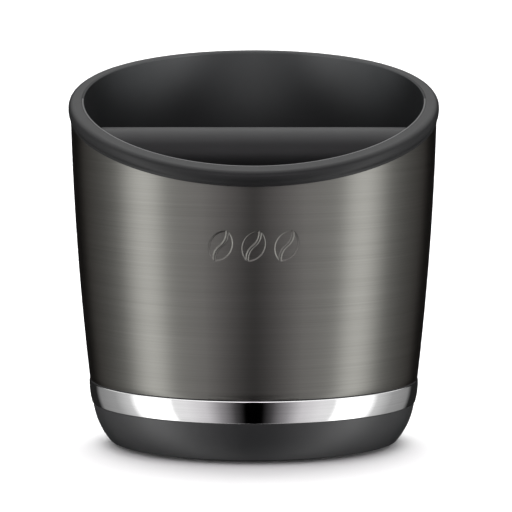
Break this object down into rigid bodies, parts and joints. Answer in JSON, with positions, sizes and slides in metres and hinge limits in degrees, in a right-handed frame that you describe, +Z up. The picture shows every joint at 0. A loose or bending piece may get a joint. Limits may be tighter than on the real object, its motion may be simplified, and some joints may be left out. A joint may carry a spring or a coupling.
{
  "type": "espresso knock box",
  "caption": "Round knock box with a slanted mouth, brushed dark steel sleeve, chrome trim, weighted base and a lift-out rubber-covered knock bar.",
  "frame": {"origin": "centre of the foot ring's underside, on the surface the box stands on", "axes": "+Z up; -Y is the front, the low side of the slanted mouth; X runs along the knock bar"},
  "size_m": [0.17, 0.17, 0.1768],
  "materials": {
    "rim_plastic": "fine satin moulded",
    "bin_plastic": "fine satin moulded",
    "base_plastic": "soft-touch matte",
    "dark_steel": "brushed round the sleeve, dark tinted",
    "polished_trim": "polished",
    "plated_steel": "zinc plated",
    "bar_rubber": "smooth matte",
    "seal_rubber": "matte",
    "foot_rubber": "matte"
  },
  "bodies": {
    "housing": {"rim_collar": "rim_plastic", "rim_gasket": "seal_rubber", "outer_shell": "dark_steel", "inner_bin": "bin_plastic", "band_seal": "seal_rubber", "chrome_band": "polished_trim", "base_cup": "base_plastic", "foot_ring": "foot_rubber", "ballast_plate": "plated_steel", "damping_pad": "seal_rubber", "base_screws": "plated_steel", "base_screw_washers": "plated_steel", "slot_liner_right": "seal_rubber", "slot_liner_left": "seal_rubber"},
    "knock_bar": {"knock_bar_core": "plated_steel", "knock_bar_sleeve": "bar_rubber", "bar_end_cap_right": "bin_plastic", "bar_end_cap_left": "bin_plastic", "bar_end_screw_right": "plated_steel", "bar_end_screw_left": "plated_steel"}
  },
  "joints": [
    {"name": "knock_bar_lift", "type": "slide", "parent": "housing", "child": "knock_bar", "axis": [0, 0, 1], "range_m": [0, 0.07]}
  ]
}
